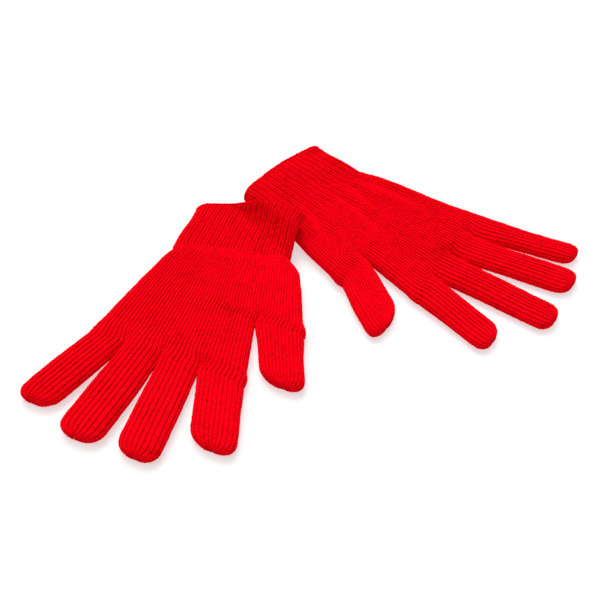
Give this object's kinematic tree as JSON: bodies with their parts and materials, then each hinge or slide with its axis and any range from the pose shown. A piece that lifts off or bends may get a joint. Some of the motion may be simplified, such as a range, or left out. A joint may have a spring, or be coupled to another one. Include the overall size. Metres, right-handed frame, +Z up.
{
  "type": "knitted gloves",
  "caption": "Pair of soft red knitted gloves with ribbed cuffs, laid down with one cuff resting on the other.",
  "frame": {"origin": "centre of the footprint of the pair, on the surface that the gloves lie on", "axes": "+Z up; +X along the pair's longest side, from the left glove to the right glove; +Y from the fingertips of the left glove towards the cuffs"},
  "size_m": [0.3451, 0.2806, 0.0266],
  "materials": {
    "plain_knit": "soft plain-knitted acrylic, matt",
    "rib_knit": "ribbed acrylic knit, matt",
    "edge_yarn": "overlocked yarn edge, matt",
    "elastic": "covered elastic thread, matt"
  },
  "bodies": {
    "right_hand": {"right_cuff": "rib_knit", "right_cuff_edge": "edge_yarn", "right_cuff_elastic": "elastic", "right_lower_palm": "plain_knit", "right_upper_palm": "plain_knit"},
    "left_cuff": {"left_cuff": "rib_knit", "left_cuff_edge": "edge_yarn", "left_cuff_elastic": "elastic"},
    "left_hand": {"left_lower_palm": "plain_knit", "left_upper_palm": "plain_knit"},
    "right_little_base": {"right_little_base": "plain_knit"},
    "right_little_tip": {"right_little_tip": "plain_knit"},
    "right_ring_base": {"right_ring_base": "plain_knit"},
    "right_ring_tip": {"right_ring_tip": "plain_knit"},
    "right_middle_base": {"right_middle_base": "plain_knit"},
    "right_middle_tip": {"right_middle_tip": "plain_knit"},
    "right_index_base": {"right_index_base": "plain_knit"},
    "right_index_tip": {"right_index_tip": "plain_knit"},
    "right_thumb_base": {"right_thumb_base": "plain_knit"},
    "right_thumb_tip": {"right_thumb_tip": "plain_knit"},
    "left_little_base": {"left_little_base": "plain_knit"},
    "left_little_tip": {"left_little_tip": "plain_knit"},
    "left_ring_base": {"left_ring_base": "plain_knit"},
    "left_ring_tip": {"left_ring_tip": "plain_knit"},
    "left_middle_base": {"left_middle_base": "plain_knit"},
    "left_middle_tip": {"left_middle_tip": "plain_knit"},
    "left_index_base": {"left_index_base": "plain_knit"},
    "left_index_tip": {"left_index_tip": "plain_knit"},
    "left_thumb_base": {"left_thumb_base": "plain_knit"},
    "left_thumb_tip": {"left_thumb_tip": "plain_knit"}
  },
  "joints": [
    {"name": "left_glove_lift", "type": "slide", "parent": "right_hand", "child": "left_cuff", "axis": [0, 0, 1], "range_m": [0, 0.15]},
    {"name": "left_wrist", "type": "hinge", "parent": "left_cuff", "child": "left_hand", "pos_m": [-0.05718, 0.02418, 0.0117], "axis": [-0.9836, 0.1805, 0], "range_deg": [0, 60]},
    {"name": "right_little_knuckle", "type": "hinge", "parent": "right_hand", "child": "right_little_base", "pos_m": [0.11211, 0.05075, 0.009], "axis": [-0.5707, -0.8211, 0], "range_deg": [0, 85]},
    {"name": "right_little_middle", "type": "hinge", "parent": "right_little_base", "child": "right_little_tip", "pos_m": [0.13608, 0.04002, 0.00867], "axis": [-0.5707, -0.8211, 0], "range_deg": [0, 90]},
    {"name": "right_ring_knuckle", "type": "hinge", "parent": "right_hand", "child": "right_ring_base", "pos_m": [0.09876, 0.03154, 0.009], "axis": [-0.5707, -0.8211, 0], "range_deg": [0, 85]},
    {"name": "right_ring_middle", "type": "hinge", "parent": "right_ring_base", "child": "right_ring_tip", "pos_m": [0.12724, 0.0168, 0.00865], "axis": [-0.5707, -0.8211, 0], "range_deg": [0, 90]},
    {"name": "right_middle_knuckle", "type": "hinge", "parent": "right_hand", "child": "right_middle_base", "pos_m": [0.08472, 0.01134, 0.009], "axis": [-0.5707, -0.8211, 0], "range_deg": [0, 85]},
    {"name": "right_middle_middle", "type": "hinge", "parent": "right_middle_base", "child": "right_middle_tip", "pos_m": [0.11023, -0.00768, 0.00867], "axis": [-0.5707, -0.8211, 0], "range_deg": [0, 90]},
    {"name": "right_index_knuckle", "type": "hinge", "parent": "right_hand", "child": "right_index_base", "pos_m": [0.07045, -0.00919, 0.009], "axis": [-0.5707, -0.8211, 0], "range_deg": [0, 85]},
    {"name": "right_index_middle", "type": "hinge", "parent": "right_index_base", "child": "right_index_tip", "pos_m": [0.08421, -0.02584, 0.00869], "axis": [-0.5707, -0.8211, 0], "range_deg": [0, 90]},
    {"name": "right_thumb_knuckle", "type": "hinge", "parent": "right_hand", "child": "right_thumb_base", "pos_m": [0.02347, 0.00732, 0.011], "axis": [0.5707, 0.8211, 0], "range_deg": [-60, 0]},
    {"name": "right_thumb_middle", "type": "hinge", "parent": "right_thumb_base", "child": "right_thumb_tip", "pos_m": [0.03073, -0.01168, 0.00988], "axis": [0.5707, 0.8211, 0], "range_deg": [-70, 0]},
    {"name": "left_little_knuckle", "type": "hinge", "parent": "left_hand", "child": "left_little_base", "pos_m": [-0.12926, -0.05157, 0.01], "axis": [-0.915, 0.4035, 0], "range_deg": [0, 85]},
    {"name": "left_little_middle", "type": "hinge", "parent": "left_little_base", "child": "left_little_tip", "pos_m": [-0.14538, -0.07266, 0.00982], "axis": [-0.915, 0.4035, 0], "range_deg": [0, 90]},
    {"name": "left_ring_knuckle", "type": "hinge", "parent": "left_hand", "child": "left_ring_base", "pos_m": [-0.10638, -0.06166, 0.01], "axis": [-0.915, 0.4035, 0], "range_deg": [0, 85]},
    {"name": "left_ring_middle", "type": "hinge", "parent": "left_ring_base", "child": "left_ring_tip", "pos_m": [-0.12008, -0.09037, 0.00982], "axis": [-0.915, 0.4035, 0], "range_deg": [0, 90]},
    {"name": "left_middle_knuckle", "type": "hinge", "parent": "left_hand", "child": "left_middle_base", "pos_m": [-0.08333, -0.07183, 0.01], "axis": [-0.915, 0.4035, 0], "range_deg": [0, 85]},
    {"name": "left_middle_middle", "type": "hinge", "parent": "left_middle_base", "child": "left_middle_tip", "pos_m": [-0.09204, -0.10274, 0.00981], "axis": [-0.915, 0.4035, 0], "range_deg": [0, 90]},
    {"name": "left_index_knuckle", "type": "hinge", "parent": "left_hand", "child": "left_index_base", "pos_m": [-0.05807, -0.08297, 0.01], "axis": [-0.915, 0.4035, 0], "range_deg": [0, 85]},
    {"name": "left_index_middle", "type": "hinge", "parent": "left_index_base", "child": "left_index_tip", "pos_m": [-0.0589, -0.10534, 0.00982], "axis": [-0.915, 0.4035, 0], "range_deg": [0, 90]},
    {"name": "left_thumb_knuckle", "type": "hinge", "parent": "left_hand", "child": "left_thumb_base", "pos_m": [-0.02448, -0.04533, 0.011], "axis": [0.915, -0.4035, 0], "range_deg": [-60, 0]},
    {"name": "left_thumb_middle", "type": "hinge", "parent": "left_thumb_base", "child": "left_thumb_tip", "pos_m": [-0.02333, -0.06419, 0.01039], "axis": [0.915, -0.4035, 0], "range_deg": [-70, 0]}
  ]
}
